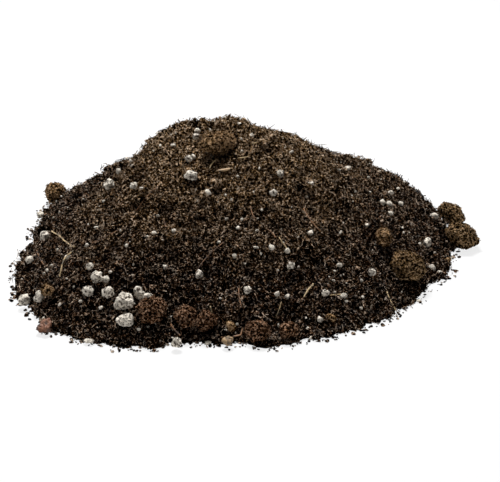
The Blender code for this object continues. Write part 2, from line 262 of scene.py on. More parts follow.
LOOSE_STRANDS = (
    Loose("straw", (0.021, -0.051), (0.025, -0.056), 0.00035, 15),
    Loose("straw", (0.023, -0.072), (0.021, -0.076), 0.00035, -10),
    Loose("root", (0.0108, -0.039), (0.0125, -0.044), 0.00035, 20),
    Loose("root", (-0.018, -0.043), (-0.017, -0.050), 0.00032, -25),
    Loose("root", (0.008, -0.068), (0.009, -0.075), 0.00032, 20),
    Loose("root", (-0.066, -0.032), (-0.062, -0.041), 0.00035, 15),
    Loose("straw", (-0.0015, -0.0745), (0.000, -0.078), 0.00055, 10),
    Loose("straw", (-0.001, -0.021), (-0.0032, -0.028), 0.00045, 35),
    Loose("straw", (0.006, -0.010), (0.015, -0.008), 0.00045, -25),
    Loose("straw", (0.003, -0.016), (0.012, -0.021), 0.00040, 60),
    Loose("root", (-0.044, -0.050), (-0.034, -0.046), 0.00035, 10),
    Loose("root", (0.002, -0.055), (-0.008, -0.064), 0.00032, 30),
    Loose("straw", (0.060, -0.058), (0.063, -0.065), 0.00040, 20),
    Loose("straw", (0.0435, -0.0665), (0.0395, -0.0675), 0.00035, 25),
    Loose("root", (0.018, -0.047), (0.021, -0.051), 0.00030, -20),
    Loose("root", (0.030, -0.035), (0.036, -0.045), 0.00032, 25),
    Loose("root", (-0.030, -0.038), (-0.022, -0.030), 0.00032, -20),
    Loose("straw", (0.014, -0.078), (0.011, -0.084), 0.00045, -35),
)


def colour_property(name, description, default):
    return FloatVectorProperty(
        name=name, description=description, default=default, subtype="COLOR", size=3, min=0, max=1
    )


def length_property(name, description, default):
    return FloatProperty(
        name=name, description=description, default=default, unit="LENGTH", precision=5, min=0
    )


class HeapSizes(bpy.types.PropertyGroup):
    skin_cell: length_property("Skin cell", "Side of one quad of the peat skin", 0.00075)
    skin_depth: length_property("Skin depth", "How far the skin lies under the crumbs", 0.0014)
    toe_wander: length_property("Toe wander", "How far the foot's edge runs in and out", 0.0022)
    lump_size: length_property("Lump size", "Width of a usual lump", 0.0034)
    flake_size: length_property("Flake size", "Width of a usual flake", 0.0011)
    grain_size: length_property("Grain size", "Width of the finest grains", 0.0006)
    fibre_length: length_property("Fibre length", "Length of a usual fibre", 0.0018)
    shred_length: length_property("Shred length", "Length of a usual shred", 0.0013)
    thread_length: length_property("Thread length", "Length of the longer, thinner threads", 0.0036)
    speck_size: length_property("Speck size", "Width of the smallest perlite", 0.0008)


class HeapColours(bpy.types.PropertyGroup):
    brown: colour_property("Peat, brown", "Most of the peat", (0.062, 0.034, 0.017))
    red: colour_property("Peat, red", "Reddish strands and front clods", (0.084, 0.038, 0.017))
    grey: colour_property("Peat, grey", "Weathered strands", (0.045, 0.037, 0.034))
    gold: colour_property("Peat, gold", "Dry peat near the crown", (0.105, 0.058, 0.022))
    olive: colour_property("Peat, olive", "The clods on the right", (0.096, 0.055, 0.021))
    # The pale tips are partly pale fibre and partly painted glints
    pale: colour_property("Peat, pale", "The palest tips", (0.600, 0.490, 0.380))
    perlite: colour_property("Perlite", "Clean perlite", (0.880, 0.800, 0.680))
    dust: colour_property("Dust", "Peat dust in the perlite's pores", (0.060, 0.040, 0.026))
    straw: colour_property("Straw", "Dry straw", (0.420, 0.300, 0.150))
    root: colour_property("Root", "Thin brown root", (0.230, 0.110, 0.045))
    bark: colour_property("Bark", "Reddish bark", (0.170, 0.070, 0.035))
    husk: colour_property("Husk", "Pale golden husk", (0.330, 0.215, 0.110))


class HeapStage(bpy.types.PropertyGroup):
    target_across: length_property("Target", "How far right of the crown the camera looks", 0.012)
    distance: length_property("Distance", "From the camera to its target", 0.520)
    elevation: FloatProperty(
        name="Elevation",
        description="How far the camera stands above the table",
        default=math.radians(24),
        subtype="ANGLE",
    )
    lens: FloatProperty(name="Lens", description="Focal length in millimetres", default=95.0)
    sky: FloatProperty(name="Sky", description="Strength of the light all round", default=0.14)
    lamp: FloatProperty(name="Lamp", description="Power of the lamp overhead", default=6.4)


def pick(*objects):
    bpy.ops.object.select_all(action="DESELECT")
    for obj in objects:
        obj.select_set(True)
    bpy.context.view_layer.objects.active = objects[0]


def apply_all(obj):
    pick(obj)
    for modifier in list(obj.modifiers):
        bpy.ops.object.modifier_apply(modifier=modifier.name)


def select_vertices(obj, wanted):
    """Opens the object in edit mode with only the wanted vertices selected."""
    pick(obj)
    bpy.ops.object.mode_set(mode="EDIT")
    bpy.ops.mesh.select_mode(type="VERT")
    bpy.ops.mesh.select_all(action="DESELECT")
    bpy.ops.object.mode_set(mode="OBJECT")
    for vertex in obj.data.vertices:
        vertex.select = wanted(vertex.co)
    bpy.ops.object.mode_set(mode="EDIT")


def copy_of(obj, name):
    copy = bpy.data.objects.new(name, obj.data.copy())
    bpy.context.scene.collection.objects.link(copy)
    copy.data.materials.clear()
    return copy


def copy_of_node(node, name):
    """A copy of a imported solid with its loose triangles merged."""
    copy = copy_of(frame["nodes"][node], name)
    pick(copy)
    bpy.ops.object.mode_set(mode="EDIT")
    bpy.ops.mesh.select_all(action="SELECT")
    bpy.ops.mesh.remove_doubles(threshold=0.000001)
    bpy.ops.object.mode_set(mode="OBJECT")
    return copy


def smooth_copy(node, name, levels):
    copy = copy_of_node(node, name)
    smooth = copy.modifiers.new("smooth", "SUBSURF")
    smooth.levels = smooth.render_levels = levels
    apply_all(copy)
    return copy


def stand_in_for(obj, node, material):
    """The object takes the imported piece's place."""
    keep_above_table(obj)
    obj.data.materials.append(material)
    bpy.ops.object.shade_smooth()
    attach(obj, "root")
    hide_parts(node)


def joined_copy(objects, name):
    copies = [copy_of(obj, name) for obj in objects]
    pick(*copies)
    if len(copies) > 1:
        bpy.ops.object.join()
    copies[0].name = name
    return copies[0]


def file_under(obj, collection):
    for held_by in list(obj.users_collection):
        held_by.objects.unlink(obj)
    collection.objects.link(obj)


def keep_above_table(obj, least=TABLE_GAP):
    for vertex in obj.data.vertices:
        vertex.co.z = max(vertex.co.z, least)


def named(prefix):
    return sorted(node for node in frame["nodes"] if node.startswith(prefix))


def granule_collection():
    """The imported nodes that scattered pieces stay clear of."""
    if "clear_of" in bpy.data.collections:
        return bpy.data.collections["clear_of"]
    collection = bpy.data.collections.new("clear_of")
    for prefix in GRANULES:
        for node in named(prefix):
            collection.objects.link(frame["nodes"][node])
    return collection


# Node tools


class Nodes:
    """Adds nodes to a tree, with their inputs."""

    def __init__(self, tree):
        self.tree = tree

    def add(self, kind, inputs=None, **settings):
        node = self.tree.nodes.new(kind)
        for name, value in settings.items():
            setattr(node, name, value)
        for key, value in (inputs or {}).items():
            self.feed(node.inputs[key], value)
        return node

    def feed(self, socket, value):
        if isinstance(value, bpy.types.NodeSocket):
            self.tree.links.new(value, socket)
        else:
            socket.default_value = value

    def maths(self, operation, first, second=0.0):
        return self.add("ShaderNodeMath", {0: first, 1: second}, operation=operation).outputs[0]

    def stretch(self, value, low, high, to_low=0.0, to_high=1.0):
        """Maps low to high onto another range and stops there."""
        ends = {"From Min": low, "From Max": high, "To Min": to_low, "To Max": to_high}
        return self.add("ShaderNodeMapRange", {"Value": value, **ends}).outputs[0]

    def noise(self, place, spacing, detail=3.0, roughness=0.6):
        settings = {"Scale": 1 / spacing, "Detail": detail, "Roughness": roughness}
        return self.add("ShaderNodeTexNoise", {"Vector": place, **settings}).outputs[0]

    def cells(self, place, spacing):
        drawn = self.add("ShaderNodeTexVoronoi", {"Vector": place, "Scale": 1 / spacing})
        return drawn.outputs["Distance"]

    def mix(self, factor, first, second):
        return self.add("ShaderNodeMix", {0: factor, 6: first, 7: second}, data_type="RGBA").outputs[2]

    def moved(self, place, away):
        return self.add("ShaderNodeVectorMath", {0: place, 1: away}, operation="ADD").outputs[0]

    def scaled(self, vector, by):
        node = self.add("ShaderNodeVectorMath", {0: vector, "Scale": by}, operation="SCALE")
        return node.outputs[0]

    def parts(self, vector):
        return self.add("ShaderNodeSeparateXYZ", {0: vector}).outputs

    def vector(self, across, along, up):
        return self.add("ShaderNodeCombineXYZ", {0: across, 1: along, 2: up}).outputs[0]

    def greater(self, value, limit):
        node = self.add(
            "FunctionNodeCompare", {0: value, 1: limit}, data_type="FLOAT", operation="GREATER_THAN"
        )
        return node.outputs[0]

    def random(self, low, high, seed):
        node = self.add("FunctionNodeRandomValue", {2: low, 3: high, "Seed": seed}, data_type="FLOAT")
        return node.outputs[1]


def geometry_group(name):
    """A geometry node group with its start and end."""
    group = bpy.data.node_groups.new(name, "GeometryNodeTree")
    group.interface.new_socket("Geometry", in_out="INPUT", socket_type="NodeSocketGeometry")
    group.interface.new_socket("Geometry", in_out="OUTPUT", socket_type="NodeSocketGeometry")
    nodes = Nodes(group)
    return nodes, nodes.add("NodeGroupInput").outputs[0], nodes.add("NodeGroupOutput").inputs[0]


def relief_value(nodes, place, layer):
    """The height of one layer of relief, in metres."""
    if layer.kind == "clouds":
        height = nodes.maths("SUBTRACT", nodes.noise(place, layer.spacing), 0.5)
        return nodes.maths("MULTIPLY", height, 4 * layer.rise)
    away = nodes.maths("POWER", nodes.cells(place, layer.spacing), 2.0)
    height = nodes.maths("SUBTRACT", 0.2, away)
    if layer.kind == "pits":
        height = nodes.maths("MINIMUM", nodes.maths("MULTIPLY", height, -1.0), 0.0)
    return nodes.maths("MULTIPLY", height, 4 * layer.rise)


def add_relief(obj, layers, reading=0.0, sink=0.0):
    """Moves each point along its normal by the layers, less the sink."""
    nodes, start, end = geometry_group(obj.name + "_relief")
    place = nodes.moved(nodes.add("GeometryNodeInputPosition").outputs[0], (reading, 0.0, 0.0))
    height = -sink
    for layer in layers:
        height = nodes.maths("ADD", relief_value(nodes, place, layer), height)
    offset = nodes.scaled(nodes.add("GeometryNodeInputNormal").outputs[0], height)
    moved = nodes.add("GeometryNodeSetPosition", {"Geometry": start, "Offset": offset})
    nodes.feed(end, moved.outputs[0])
    obj.modifiers.new("relief", "NODES").node_group = nodes.tree


def above_table(nodes, geometry):
    """Lifts every point that would lie under the table."""
    across, along, up = nodes.parts(nodes.add("GeometryNodeInputPosition").outputs[0])
    place = nodes.vector(across, along, nodes.maths("MAXIMUM", up, TABLE_GAP))
    return nodes.add("GeometryNodeSetPosition", {"Geometry": geometry, "Position": place}).outputs[0]


# Shader groups


def shader_group(name, inputs, outputs):
    """A shader node group with these sockets, and its start and end."""
    group = bpy.data.node_groups.new(name, "ShaderNodeTree")
    kinds = {"colour": "NodeSocketColor", "value": "NodeSocketFloat"}
    for label, kind in inputs.items():
        group.interface.new_socket(label, in_out="INPUT", socket_type=kinds[kind])
    for label, kind in outputs.items():
        group.interface.new_socket(label, in_out="OUTPUT", socket_type=kinds[kind])
    nodes = Nodes(group)
    return nodes, nodes.add("NodeGroupInput").outputs, nodes.add("NodeGroupOutput").inputs


def place_of(nodes):
    return nodes.add("ShaderNodeTexCoord").outputs["Object"]


def fibre_tangle_group():
    """Fine curled fibres that cross each other, drawn as broken lines round bent cells."""
    nodes, given, made = shader_group(
        "fibre_tangle", {"Spacing": "value"}, {"Lines": "value", "Grain": "value"}
    )
    place = nodes.add(
        "ShaderNodeVectorMath", {0: place_of(nodes), 1: given["Spacing"]}, operation="DIVIDE"
    ).outputs[0]
    bend = nodes.add("ShaderNodeTexNoise", {"Vector": place, "Scale": 0.8, "Detail": 2.0})
    bend = nodes.scaled(nodes.moved(bend.outputs["Color"], (-0.5, -0.5, -0.5)), 1.4)
    bent = nodes.moved(place, bend)
    lines = 0.0
    for scale, strength in ((1.0, 1.0), (1.9, 0.8)):
        cells = nodes.add(
            "ShaderNodeTexVoronoi", {"Vector": bent, "Scale": scale}, feature="DISTANCE_TO_EDGE"
        )
        drawn = nodes.stretch(cells.outputs["Distance"], 0.13, 0.03, 0.0, strength)
        elsewhere = nodes.moved(place, (7.0 * scale, 0, 0))
        breaks = nodes.stretch(nodes.noise(elsewhere, 0.8, 1.0), 0.42, 0.60)
        lines = nodes.maths("MAXIMUM", lines, nodes.maths("MULTIPLY", drawn, breaks))
    nodes.feed(made["Lines"], lines)
    nodes.feed(made["Grain"], nodes.noise(place, 0.62, 2.0, 0.7))
    return nodes.tree


def peat_tones_group():
    """Peat in its hues, each strand and crumb darker or paler, from black gaps to pale tips. The blackest
    is painted shade of the gaps between the strands; the pale tips are partly pale fibre, partly painted
    glints.
    """
    nodes, given, made = shader_group(
        "peat_tones",
        {
            "Brown": "colour",
            "Red": "colour",
            "Grey": "colour",
            "Pale": "colour",
            "Tone": "colour",
            "Toned": "value",
            "Lift": "value",
            "Tint": "value",
            "Lines": "value",
            "Grain": "value",
        },
        {"Colour": "colour", "Roughness": "value", "Height": "value"},
    )
    place = place_of(nodes)
    reddish = nodes.stretch(nodes.noise(place, RED_SPACING, 2.0), 0.44, 0.62)
    elsewhere = nodes.moved(place, (0.3, 0, 0))
    greyish = nodes.stretch(nodes.noise(elsewhere, GREY_SPACING, 2.0), 0.50, 0.60)
    colour = nodes.mix(reddish, given["Brown"], given["Red"])
    colour = nodes.mix(greyish, colour, given["Grey"])
    colour = nodes.mix(given["Toned"], colour, given["Tone"])
    clumps = nodes.noise(place, CLUMP_SPACING, 2.0)
    steps = given["Lift"]
    for value, middle, strength in (
        (given["Tint"], 0.5, 9.5),
        (given["Grain"], 0.5, 40.0),
        (clumps, 0.5, 6.0),
        (given["Lines"], 0.35, 4.6),
    ):
        about = nodes.maths("MULTIPLY", nodes.maths("SUBTRACT", value, middle), strength)
        steps = nodes.maths("ADD", steps, about)
    brightness = nodes.maths("POWER", 2.0, nodes.maths("MINIMUM", steps, MOST_DOUBLINGS))
    # Where the steps run highest the peat turns pale: partly pale fibre tips, partly painted glints
    tips_and_glints = nodes.stretch(steps, 1.7, 3.7, 0.0, 0.9)
    nodes.feed(made["Colour"], nodes.mix(tips_and_glints, nodes.scaled(colour, brightness), given["Pale"]))
    nodes.feed(made["Roughness"], nodes.stretch(given["Grain"], 0.3, 0.7, 0.95, 0.75))
    nodes.feed(made["Height"], nodes.maths("ADD", given["Lines"], given["Grain"]))
    return nodes.tree


def dust_group():
    """Peat dust that lies in the pores and on patches of another surface."""
    nodes, given, made = shader_group(
        "peat_dust",
        {"Clean": "colour", "Dust": "colour", "Amount": "value", "Pore": "value"},
        {"Colour": "colour", "Height": "value"},
    )
    place = place_of(nodes)
    settings = {"Vector": place, "Scale": given["Pore"], "Detail": 3.0, "Roughness": 0.75}
    pores = nodes.add("ShaderNodeTexNoise", settings).outputs[0]
    pores = nodes.stretch(pores, 0.53, 0.57)
    patches = nodes.noise(place, 0.0018, 3.0, 0.7)
    lying = nodes.stretch(patches, 0.50, 0.62, 0.0, 0.6)
    dusty = nodes.maths("MULTIPLY", nodes.maths("MAXIMUM", pores, lying), given["Amount"])
    nodes.feed(made["Colour"], nodes.mix(dusty, given["Clean"], given["Dust"]))
    nodes.feed(made["Height"], nodes.maths("SUBTRACT", patches, pores))
    return nodes.tree


def rgba(colour):
    return (*colour, 1.0)


def new_material(name):
    """A material, its node helper and its Principled shader."""
    material = bpy.data.materials.new(name)
    material.use_nodes = True
    return material, Nodes(material.node_tree), material.node_tree.nodes["Principled BSDF"]


def bumped(nodes, shader, height, rise):
    bump = nodes.add("ShaderNodeBump", {"Height": height, "Strength": 1.0, "Distance": rise})
    nodes.feed(shader.inputs["Normal"], bump.outputs[0])


def placed_group(nodes, make, inputs):
    group = bpy.data.node_groups.get(GROUP_NAMES[make]) or make()
    node = nodes.add("ShaderNodeGroup", node_tree=group)
    for name, value in inputs.items():
        nodes.feed(node.inputs[name], value)
    return node.outputs


GROUP_NAMES = {
    peat_tones_group: "peat_tones",
    fibre_tangle_group: "fibre_tangle",
    dust_group: "peat_dust",
}


def peat_material(name, tone, toned, lift=0.0, tint=None):
    """Peat. Without a tint of its own it takes each crumb's."""
    if name in bpy.data.materials:
        return bpy.data.materials[name]
    colours = bpy.context.scene.heap_colours
    pale = colours.pale
    if toned is not None:
        # A clod's pale tips, partly painted glints, take some of its own tone
        pale = [(TIP_AND_GLINT_GAIN * part + whole) / 2 for part, whole in zip(tone, pale)]
    material, nodes, shader = new_material(name)
    if tint is None:
        tint = nodes.add("ShaderNodeAttribute", attribute_name="tint").outputs["Fac"]
    if toned is None:
        # Towards the crown the peat turns golden as dry peat, and paler as painted light from above
        toned = dry_and_lit(nodes)
        lift = nodes.maths("ADD", nodes.maths("MULTIPLY", toned, DRY_AND_LIT_LIFT), lift)
    tangle = placed_group(nodes, fibre_tangle_group, {"Spacing": TANGLE_SPACING})
    tones = placed_group(
        nodes,
        peat_tones_group,
        {
            "Brown": rgba(colours.brown),
            "Red": rgba(colours.red),
            "Grey": rgba(colours.grey),
            "Pale": rgba(pale),
            "Tone": rgba(tone),
            "Toned": toned,
            "Lift": lift,
            "Tint": tint,
            "Lines": tangle["Lines"],
            "Grain": tangle["Grain"],
        },
    )
    nodes.feed(shader.inputs["Base Color"], tones["Colour"])
    nodes.feed(shader.inputs["Roughness"], tones["Roughness"])
    shader.inputs["Specular IOR Level"].default_value = 0.0
    bumped(nodes, shader, tones["Height"], 0.0005)
    return material


def dry_and_lit(nodes):
    """From 0 in the moist foot to 1 at the dry crown, in patches. It turns the peat golden where it is
    dry, and paler towards the crown as painted light from above.
    """
    place = place_of(nodes)
    up = nodes.stretch(nodes.parts(place)[2], DRY_AND_LIT_FROM, DRY_AND_LIT_TO)
    return nodes.stretch(nodes.maths("ADD", up, nodes.noise(place, DRY_SPACING, 2.0)), 0.60, 1.35)


def heap_material(name, tint=None):
    """Peat in the heap's mixed hues, golden where it is dry and paler towards the crown as painted light
    from above.
    """
    return peat_material(name, bpy.context.scene.heap_colours.gold, None, PEAT_LIFTS[name], tint)


# The peat skin


class HEAP_OT_skin(bpy.types.Operator):
    """Lays a fine grid on the mass, roughens it and closes it down to the table"""

    bl_idname = "heap.skin"
    bl_label = "Peat skin"

    def execute(self, context):
        sizes = context.scene.heap_sizes
        low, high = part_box("compost_mass")
        width = high.x - low.x
        depth = high.y - low.y
        mass = copy_of_node("compost_mass", "mass_copy")
        bpy.ops.object.select_all(action="DESELECT")
        bpy.ops.mesh.primitive_grid_add(
            x_subdivisions=round(width / sizes.skin_cell),
            y_subdivisions=round(depth / sizes.skin_cell),
            size=1,
            location=((low.x + high.x) / 2, (low.y + high.y) / 2, 2 * high.z),
        )
        skin = context.object
        skin.name = "peat_skin"
        skin.scale = (width, depth, 1)
        bpy.ops.object.transform_apply(location=True, rotation=True, scale=True)
        wrap = skin.modifiers.new("wrap", "SHRINKWRAP")
        wrap.wrap_method = "PROJECT"
        wrap.use_project_z = True
        wrap.use_negative_direction = True
        wrap.use_positive_direction = False
        wrap.target = mass
        apply_all(skin)
        bpy.data.objects.remove(mass)
        select_vertices(skin, lambda place: place.z > 1.5 * high.z)
        bpy.ops.mesh.delete(type="VERT")
        bpy.ops.object.mode_set(mode="OBJECT")
        self.press_hollows(skin)
        self.wander_toe(skin, sizes.toe_wander)
        add_relief(skin, SKIN_RELIEF, sink=sizes.skin_depth)
        apply_all(skin)
        self.close_to_table(skin)
        # The skin's peat is darkened nearly to black: painted shade of the gaps under the crumbs and
        # fibres
        skin.data.materials.append(heap_material("skin_peat", 0.5))
        bpy.ops.object.shade_smooth()
        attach(skin, "root")
        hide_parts("compost_mass")
        return {"FINISHED"}

    def press_hollows(self, skin):
        for vertex in skin.data.vertices:
            for hollow in HOLLOWS:
                away = (vertex.co - Vector(hollow.place)).length / hollow.spread
                vertex.co.z -= hollow.depth * math.exp(-away * away)

    def wander_toe(self, skin, reach):
        """Runs the foot in and out, most at the table and hardly at all a finger's width up."""
        for vertex in skin.data.vertices:
            place = vertex.co
            low = math.exp(-place.z / TOE_HEIGHT)
            if low > 0.01:
                outwards = Vector((place.x, place.y, 0)).normalized()
                coarse = noise.noise(place / TOE_COARSE)
                fine = noise.noise(place / TOE_FINE)
                vertex.co = place + outwards * reach * low * (1.6 * coarse + 0.8 * fine)

    def close_to_table(self, skin):
        keep_above_table(skin, RIM_HEIGHT)
        pick(skin)
        bpy.ops.object.mode_set(mode="EDIT")
        bpy.ops.mesh.select_all(action="DESELECT")
        bpy.ops.mesh.select_non_manifold()
        bpy.ops.mesh.extrude_region_move()
        bpy.ops.transform.resize(value=(1, 1, 0), center_override=(0, 0, TABLE_GAP))
        bpy.ops.mesh.edge_face_add()
        bpy.ops.mesh.select_all(action="SELECT")
        bpy.ops.mesh.normals_make_consistent(inside=False)
        # The faces' order decides what is scattered on each
        bpy.ops.mesh.sort_elements(type="CURSOR_DISTANCE", elements={"FACE"})
        bpy.ops.object.mode_set(mode="OBJECT")


# What is scattered


def lump_shapes(name, rounds, squash, knobs):
    """Five small lumps, modelled once and scattered many times. With no rounds each has eight faces."""
    shapes = bpy.data.collections.new(name + "_shapes")
    for reading in range(5):
        bpy.ops.object.select_all(action="DESELECT")
        if rounds:
            bpy.ops.mesh.primitive_ico_sphere_add(subdivisions=rounds, radius=0.5)
        else:
            bpy.ops.mesh.primitive_uv_sphere_add(segments=4, ring_count=2, radius=0.5)
        lump = bpy.context.object
        lump.name = f"{name}_shape_{reading}"
        lump.scale = squash
        bpy.ops.object.transform_apply(location=False, rotation=False, scale=True)
        layers = (Layer("clouds", 0.45, knobs), Layer("clouds", 0.20, 0.5 * knobs))
        add_relief(lump, layers, reading * 3.1)
        apply_all(lump)
        file_under(lump, shapes)
    return shapes


def model_strand(name, thickness, bend, cuts, sides=3):
    """A strand one unit long, thinner at its far end and bent."""
    bpy.ops.object.select_all(action="DESELECT")
    bpy.ops.mesh.primitive_cylinder_add(
        vertices=sides, radius=thickness / 2, depth=1, rotation=(0, math.pi / 2, 0)
    )
    strand = bpy.context.object
    strand.name = name
    bpy.ops.object.transform_apply(location=False, rotation=True, scale=False)
    bpy.ops.object.mode_set(mode="EDIT")
    bpy.ops.mesh.select_mode(type="EDGE")
    bpy.ops.mesh.select_all(action="DESELECT")
    bpy.ops.object.mode_set(mode="OBJECT")
    for edge in strand.data.edges:
        first, second = (strand.data.vertices[index].co for index in edge.vertices)
        edge.select = abs(first.x - second.x) > 0.5
    bpy.ops.object.mode_set(mode="EDIT")
    if cuts:
        bpy.ops.mesh.subdivide(number_cuts=cuts)
    bpy.ops.object.mode_set(mode="OBJECT")
    select_vertices(strand, lambda place: place.x > 0.45)
    bpy.ops.transform.resize(value=(1, 0.4, 0.4), center_override=(0.5, 0, 0))
    bpy.ops.object.mode_set(mode="OBJECT")
    curl = strand.modifiers.new("curl", "SIMPLE_DEFORM")
    curl.deform_method = "BEND"
    curl.deform_axis = "Z"
    curl.angle = math.radians(bend)
    apply_all(strand)
    return strand


def strand_shapes(name, thickness, bends, cuts=1):
    """Strands one unit long, each bent another way."""
    shapes = bpy.data.collections.new(name + "_shapes")
    for reading, bend in enumerate(bends):
        file_under(model_strand(f"{name}_shape_{reading}", thickness, bend, cuts), shapes)
    return shapes


def scatter_group(name, usual, shapes, reach):
    """Puts a shape of the collection on many points of the surface, with a tint for each.

    With a reach they lie on the table instead, that far out from the points.
    """
    plan = SCATTERS[name]
    nodes, start, end = geometry_group(name)
    position = nodes.add("GeometryNodeInputPosition").outputs[0]
    clear_of = {"Collection": granule_collection()}
    near = nodes.add("GeometryNodeCollectionInfo", clear_of, transform_space="RELATIVE")
    near = nodes.add("GeometryNodeRealizeInstances", {0: near.outputs[0]})
    distance = nodes.add("GeometryNodeProximity", {0: near.outputs[0]}, target_element="FACES")
    clear = nodes.greater(distance.outputs["Distance"], plan.clearance)
    up = nodes.parts(nodes.add("GeometryNodeInputNormal").outputs[0])[2]
    wanted = nodes.add("FunctionNodeBooleanMath", {0: clear, 1: nodes.greater(up, OVERHANG)}).outputs[0]
    if reach:
        low = nodes.greater(FOOT_HEIGHT, nodes.parts(position)[2])
        wanted = nodes.add("FunctionNodeBooleanMath", {0: wanted, 1: low}).outputs[0]
    points = nodes.add(
        "GeometryNodeDistributePointsOnFaces",
        {"Mesh": start, "Selection": wanted, "Density": plan.density, "Seed": plan.seed},
    )
    lift = nodes.random(plan.lift[0], plan.lift[1], plan.seed + 1)
    offset = nodes.scaled(points.outputs["Normal"], lift)
    if reach:
        across, along, high = nodes.parts(position)
        flat = nodes.vector(across, along, 0.0)
        flat = nodes.add("ShaderNodeVectorMath", {0: flat}, operation="NORMALIZE").outputs[0]
        way = nodes.random(0.0, 1.0, plan.seed + 6)
        flat = nodes.scaled(flat, nodes.maths("MULTIPLY", nodes.maths("POWER", way, 1.6), reach))
        down = nodes.vector(0.0, 0.0, nodes.maths("SUBTRACT", 0.3 * usual, high))
        offset = nodes.moved(flat, down)
    lifted = nodes.add("GeometryNodeSetPosition", {"Geometry": points.outputs[0], "Offset": offset})
    turn = nodes.add("FunctionNodeRandomValue", {"Seed": plan.seed + 2}, data_type="FLOAT_VECTOR")
    turn.inputs[0].default_value = (-plan.tilt, -plan.tilt, -math.pi)
    turn.inputs[1].default_value = (plan.tilt, plan.tilt, math.pi)
    start_turn = (0.0, 0.0, 0.0) if reach else points.outputs["Rotation"]
    turned = nodes.add("FunctionNodeRotateRotation", rotation_space="LOCAL")
    nodes.feed(turned.inputs[0], start_turn)
    nodes.feed(turned.inputs[1], turn.outputs[0])
    way = nodes.maths("POWER", nodes.random(0.0, 1.0, plan.seed + 3), 2.0)
    size = nodes.stretch(way, 0.0, 1.0, usual * (1 - plan.spread), usual * (1 + 2 * plan.spread))
    choice = nodes.add("FunctionNodeRandomValue", {"Seed": plan.seed + 4}, data_type="INT")
    choice.inputs[4].default_value = 0
    choice.inputs[5].default_value = len(shapes.objects) - 1
    family = nodes.add(
        "GeometryNodeCollectionInfo",
        {"Collection": shapes, "Separate Children": True, "Reset Children": True},
    )
    instances = nodes.add(
        "GeometryNodeInstanceOnPoints",
        {
            "Points": lifted.outputs[0],
            "Instance": family.outputs[0],
            "Pick Instance": True,
            "Instance Index": choice.outputs[2],
            "Rotation": turned.outputs[0],
            "Scale": size,
        },
    )
    stored = nodes.add(
        "GeometryNodeStoreNamedAttribute",
        {"Geometry": instances.outputs[0], "Name": "tint"},
        data_type="FLOAT",
        domain="INSTANCE",
    )
    nodes.feed(stored.inputs["Value"], nodes.random(0.0, 1.0, plan.seed + 5))
    real = nodes.add("GeometryNodeRealizeInstances", {0: stored.outputs[0]})
    nodes.feed(end, above_table(nodes, real.outputs[0]))
    return nodes.tree


def scatter(name, usual, over, shapes, material, reach=0.0):
    """A piece made by scattering the shapes, of this usual size, over these objects."""
    piece = joined_copy(over, name)
    piece.modifiers.new("scatter", "NODES").node_group = scatter_group(name, usual, shapes, reach)
    apply_all(piece)
    piece.data.materials.clear()
    piece.data.materials.append(material)
    for shape in list(shapes.objects):
        bpy.data.objects.remove(shape)
    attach(piece, "root")
    return piece


def ground():
    """The skin and the lumps on it, which the finer matter covers."""
    return [bpy.data.objects["peat_skin"], bpy.data.objects["peat_lumps"]]


class HEAP_OT_lumps(bpy.types.Operator):
    """Scatters lumps over the skin"""

    bl_idname = "heap.lumps"
    bl_label = "Peat lumps"

    def execute(self, context):
        size = context.scene.heap_sizes.lump_size
        shapes = lump_shapes("peat_lumps", 2, (1.0, 0.8, 0.6), 0.10)
        over = [bpy.data.objects["peat_skin"]]
        # The lumps' peat is darkened: painted shade of the gaps under the crumbs and fibres
        lumps = scatter("peat_lumps", size, over, shapes, heap_material("lump_peat"))
        lumps.data.shade_smooth()
        return {"FINISHED"}


class HEAP_OT_clods(bpy.types.Operator):
    """Gives each clod its rough surface"""

    bl_idname = "heap.clods"
    bl_label = "Clods"

    def execute(self, context):
        for reading, node in enumerate(named("clod_")):
            clod = smooth_copy(node, "rough_" + node, 2)
            add_relief(clod, CLOD_RELIEF, reading * 0.41, sink=0.0003)
            apply_all(clod)
            tone = SLOTS[node]
            lift = CLOD_LIFTS[tone] - CLOD_DEPTH
            stand_in_for(clod, node, peat_material("clod_" + tone, clod_tone(tone), 1.0, lift, 0.5))
        return {"FINISHED"}


def clod_tone(slot):
    colours = bpy.context.scene.heap_colours
    return {"red_peat": colours.red, "olive_peat": colours.olive, "golden_peat": colours.gold}[slot]


class HEAP_OT_crumbs(bpy.types.Operator):
    """Scatters flakes and grains over the skin and its lumps, and along the foot"""

    bl_idname = "heap.crumbs"
    bl_label = "Flakes and grains"

    def execute(self, context):
        sizes = context.scene.heap_sizes
        material = heap_material("crumb_peat")
        flat = (1.0, 0.75, 0.45)
        flakes = lump_shapes("flake", 1, flat, 0.14)
        scatter("peat_flakes", sizes.flake_size, ground(), flakes, material)
        grains = lump_shapes("grain", 0, flat, 0.10)
        scatter("peat_grains", sizes.grain_size, ground(), grains, material)
        skin = [bpy.data.objects["peat_skin"]]
        crumbs = lump_shapes("foot", 1, flat, 0.14)
        scatter("foot_crumbs", sizes.flake_size, skin, crumbs, material, FOOT_REACH)
        return {"FINISHED"}


class HEAP_OT_fibres(bpy.types.Operator):
    """Scatters fibres, shreds and threads over the heap"""

    bl_idname = "heap.fibres"
    bl_label = "Fibres"

    def execute(self, context):
        sizes = context.scene.heap_sizes
        material = heap_material("fibre_peat")
        curled = strand_shapes("fibre", 0.11, (25, 60, 95, -40, -80))
        scatter("peat_fibres", sizes.fibre_length, ground(), curled, material)
        short = strand_shapes("shred", 0.2, (0, 10, 20), 0)
        scatter("peat_shreds", sizes.shred_length, ground(), short, material)
        long = strand_shapes("thread", 0.05, (20, 70, 110, -50, -90), 2)
        scatter("peat_threads", sizes.thread_length, ground(), long, material)
        return {"FINISHED"}


